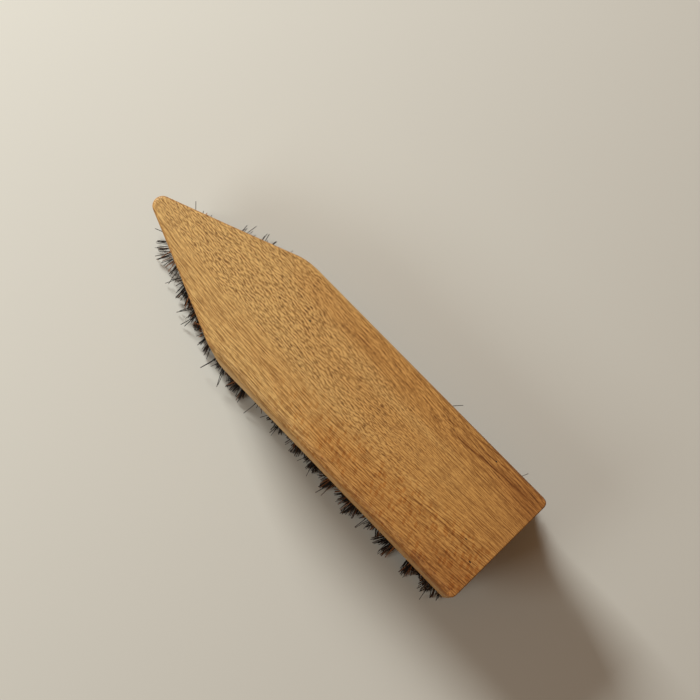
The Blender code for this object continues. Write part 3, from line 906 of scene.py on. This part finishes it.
class SHOEBRUSH_OT_draw_wire(bpy.types.Operator):
    """Give the draw wire its brass"""

    bl_idname = "shoe_brush.draw_wire"
    bl_label = "Finish Draw Wire"

    def execute(self, context):
        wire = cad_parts["draw_wire"]
        wire.data.materials.clear()
        wire.data.materials.append(brass_wire())
        return {"FINISHED"}


def scatter(draws, reach):
    """A random step in plan, with this spread along each axis."""
    return Vector((draws.gauss(0, 1), draws.gauss(0, 1))) * reach


def in_disc(draws):
    """A random place in a disc of radius 1."""
    angle = draws.uniform(0, 2 * math.pi)
    return Vector((math.cos(angle), math.sin(angle))) * math.sqrt(draws.random())


def fanned_end(draws, settings, place, ends, spread, way):
    """Where a hair of a tuft ends in plan, in a fan that widens along the block's edge."""
    lean = ends - place
    along = Vector((-lean.y, lean.x)).normalized() if lean.length > LEAST_LEAN else Vector((0, 0))
    end = ends + way * spread + along * along.dot(way) * spread * settings.fan
    return end + scatter(draws, settings.wander)


def hair_line(draws, settings, root, end, lift, root_level):
    """One hair's middle line, its root inside the hole and its end near the floor."""
    side = scatter(draws, settings.bend)
    tip_level = lift + settings.tip_radius
    points = []
    for step in range(HAIR_STEPS + 1):
        fall = step / HAIR_STEPS
        plan = root.lerp(end, fall ** HAIR_CURVE_POWER) + side * math.sin(math.pi * fall)
        points.append(Vector((plan.x, plan.y, root_level + (tip_level - root_level) * fall)))
    return points


def hair_tube(line, root_radius, tip_radius, turn):
    """Corners of a thin tapered tube round a line."""
    corners = []
    for index, point in enumerate(line):
        before = line[max(index - 1, 0)]
        after = line[min(index + 1, len(line) - 1)]
        along = (after - before).normalized()
        side = along.cross(Vector((0, 1, 0))).normalized()
        other = along.cross(side)
        share = index / (len(line) - 1)
        radius = root_radius + (tip_radius - root_radius) * share ** TAPER_POWER
        for corner in range(HAIR_SIDES):
            angle = turn + corner * 2 * math.pi / HAIR_SIDES
            offset = side * math.cos(angle) + other * math.sin(angle)
            corners.append(point + offset * radius)
    return corners


def tube_faces(start, rings):
    """Faces of one tube whose first corner has this number."""
    faces = [tuple(range(start, start + HAIR_SIDES))]
    for ring in range(rings - 1):
        low = start + ring * HAIR_SIDES
        high = low + HAIR_SIDES
        for corner in range(HAIR_SIDES):
            after = (corner + 1) % HAIR_SIDES
            faces.append((low + corner, high + corner, high + after, low + after))
    last = start + (rings - 1) * HAIR_SIDES
    faces.append(tuple(range(last + HAIR_SIDES - 1, last - 1, -1)))
    return faces


class SHOEBRUSH_OT_tufts(bpy.types.Operator):
    """Grow the hairs of every tuft"""

    bl_idname = "shoe_brush.tufts"
    bl_label = "Grow Hair"

    def execute(self, context):
        settings = context.scene.shoe_brush_hair
        material = mixed_hair(settings)
        root_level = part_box("stock")[0].z + ROOT_DEPTH
        for number, name in enumerate(tuft_names()):
            self.grow(name, settings, material, root_level, random.Random(settings.seed + number))
        return {"FINISHED"}

    def grow(self, name, settings, material, root_level, draws):
        """One tuft's hairs, as one piece."""
        hairs = []
        place, ends, spread = tuft_facts(name)
        ends = ends + Vector(COMBED.get(name, (0.0, 0.0))) + scatter(draws, settings.tuft_wander)
        locks = [(in_disc(draws), abs(draws.gauss(0, 1)) * settings.trim) for _ in range(settings.locks)]
        for _ in range(settings.count):
            way, lift = draws.choice(locks)
            end = fanned_end(draws, settings, place, ends, spread, way)
            lift += abs(draws.gauss(0, 1)) * settings.trim
            if draws.random() < settings.stray_share:
                further = (end - place).normalized() * draws.uniform(*STRAY_REACH_SHARES)
                end += further * settings.stray_reach
                lift += draws.random() * settings.stray_lift
            spot = way * (1 - ROOT_SCATTER_SHARE) + in_disc(draws) * ROOT_SCATTER_SHARE
            root = place + spot * ROOT_REACH
            hairs.append(hair_line(draws, settings, root, end, lift, root_level))
        for count, end_x, end_y, reach, lift in STRAYS.get(name, ()):
            for _ in range(count):
                root = place + scatter(draws, STRAY_ROOT_SCATTER)
                end = Vector((end_x, end_y)) + scatter(draws, reach)
                hairs.append(hair_line(draws, settings, root, end, lift, root_level))

        corners, faces, hair_draws, hair_along = [], [], [], []
        clump = draws.gauss(0, CLUMP_TONE)
        for number, line in enumerate(hairs):
            faces += tube_faces(len(corners), len(line))
            thick = draws.uniform(*THICKNESS_SHARES)
            root_radius, tip_radius = settings.root_radius * thick, settings.tip_radius * thick
            corners += hair_tube(line, root_radius, tip_radius, draws.uniform(0, math.pi))
            draw = min(max(draws.random() + clump, 0.0), 1.0)
            if number >= settings.count:
                draw *= STRAY_TONE_SHARE
            hair_draws += [draw] * (HAIR_SIDES * len(line))
            hair_along += [step / HAIR_STEPS for step in range(len(line)) for _ in range(HAIR_SIDES)]
        mesh = bpy.data.meshes.new("hair_" + name)
        mesh.from_pydata(corners, [], faces)
        mesh.shade_smooth()
        for attribute, values in (("hair_draw", hair_draws), ("hair_along", hair_along)):
            mesh.attributes.new(attribute, "FLOAT", "POINT").data.foreach_set("value", values)
        piece = add_piece(mesh, material)
        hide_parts(name)


def direction(azimuth, elevation):
    """A unit vector by its bearing from +X and its height above the floor."""
    flat = math.cos(elevation)
    return Vector((flat * math.cos(azimuth), flat * math.sin(azimuth), math.sin(elevation)))


def add_lamp(name, settings):
    """A square lamp that faces the brush."""
    lamp = bpy.data.lights.new(name, "AREA")
    lamp.energy = getattr(settings, name + "_power")
    lamp.color = getattr(settings, name + "_colour")
    lamp.size = getattr(settings, name + "_size")
    place = direction(getattr(settings, name + "_azimuth"), getattr(settings, name + "_elevation"))
    place *= getattr(settings, name + "_distance")
    shown = new_object(lamp)
    shown.location = place
    shown.rotation_euler = place.to_track_quat("Z", "Y").to_euler()
    shown.visible_camera = False


class SHOEBRUSH_OT_stage(bpy.types.Operator):
    """Lay the floor, hang the lamps and place the camera"""

    bl_idname = "shoe_brush.stage"
    bl_label = "Set Stage"

    def execute(self, context):
        settings = context.scene.shoe_brush_stage
        self.lay_floor(settings)
        self.light(context, settings)
        self.place_camera(context, settings)
        context.scene.view_settings.view_transform = "Standard"
        return {"FINISHED"}

    def lay_floor(self, settings):
        """A plain pale floor under the hair."""
        paper = Finish("floor_paper")
        paper.cover(rgba(settings.floor), 0.9, 0.1)
        half = settings.floor_size / 2
        corners = [(-half, -half, 0), (half, -half, 0), (half, half, 0), (-half, half, 0)]
        mesh = bpy.data.meshes.new("floor")
        mesh.from_pydata(corners, [], [(0, 1, 2, 3)])
        mesh.materials.append(paper.material)
        new_object(mesh)

    def light(self, context, settings):
        """A soft low key, a weak fill at the left and a weak sky, which looks like a pale backdrop."""
        world = bpy.data.worlds.new("even_sky")
        world.use_nodes = True
        around = NodeTree(world.node_tree)
        rays = around.put("ShaderNodeLightPath").outputs
        seen = around.most(rays["Is Camera Ray"], rays["Is Glossy Ray"])
        seen = around.most(seen, rays["Is Transmission Ray"])
        sky = around.tree.nodes["Background"]
        around.feed(sky.inputs["Color"], rgba(settings.sky))
        around.feed(sky.inputs["Strength"], settings.sky_strength)
        backdrop = around.put("ShaderNodeBackground", {"Color": rgba(settings.backdrop)})
        blend = around.put("ShaderNodeMixShader", {0: seen, 1: sky.outputs[0], 2: backdrop.outputs[0]})
        around.feed(around.tree.nodes["World Output"].inputs["Surface"], blend.outputs[0])
        context.scene.world = world
        for name in ("key", "fill"):
            add_lamp(name, settings)

    def place_camera(self, context, settings):
        """The photograph's view: almost straight down, from beside the blunt end."""
        back = direction(settings.view_bearing, math.pi / 2 - settings.view_tilt)
        heading = Vector((math.cos(settings.view_roll), math.sin(settings.view_roll), 0))
        right = (-back).cross(heading).normalized()
        up = back.cross(right)
        lens = bpy.data.cameras.new("view")
        lens.lens = settings.lens
        lens.clip_start = 0.01
        camera = new_object(lens)
        target = Vector((settings.target_x, settings.target_y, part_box("cover_board")[1].z))
        turn = Matrix((right, up, back)).transposed().to_4x4()
        camera.matrix_world = Matrix.Translation(target + back * settings.view_distance) @ turn
        context.scene.camera = camera


class SHOEBRUSH_PT_finish(bpy.types.Panel):
    """The steps that dress the brush, and their settings"""

    bl_idname = "SHOEBRUSH_PT_finish"
    bl_label = "Shoe Brush"
    bl_space_type = "VIEW_3D"
    bl_region_type = "UI"
    bl_category = "Shoe Brush"

    def draw(self, context):
        layout = self.layout
        for step in STEPS:
            layout.operator(step.bl_idname)
        for settings, pointer in SETTINGS.items():
            box = layout.box()
            box.label(text=settings.__doc__)
            for name in settings.__annotations__:
                box.prop(getattr(context.scene, pointer), name)


STEPS = (
    SHOEBRUSH_OT_cover_board,
    SHOEBRUSH_OT_stock,
    SHOEBRUSH_OT_draw_wire,
    SHOEBRUSH_OT_tufts,
    SHOEBRUSH_OT_stage,
)
SETTINGS = {
    BlockSettings: "shoe_brush_block",
    OakSettings: "shoe_brush_oak",
    HairSettings: "shoe_brush_hair",
    StageSettings: "shoe_brush_stage",
}


def register():
    """Register the classes and hang the settings on the scene."""
    for settings, pointer in SETTINGS.items():
        bpy.utils.register_class(settings)
        setattr(bpy.types.Scene, pointer, PointerProperty(type=settings))
    for shown in (*STEPS, SHOEBRUSH_PT_finish):
        bpy.utils.register_class(shown)


def unregister():
    """Take the classes and the settings away again."""
    for shown in (SHOEBRUSH_PT_finish, *reversed(STEPS)):
        bpy.utils.unregister_class(shown)
    for settings, pointer in SETTINGS.items():
        delattr(bpy.types.Scene, pointer)
        bpy.utils.unregister_class(settings)


def main():
    """Dress the brush and set its stage."""
    register()
    bpy.ops.shoe_brush.cover_board()
    bpy.ops.shoe_brush.stock()
    bpy.ops.shoe_brush.draw_wire()
    bpy.ops.shoe_brush.tufts()
    bpy.ops.shoe_brush.stage()


if __name__ == "__main__":
    main()
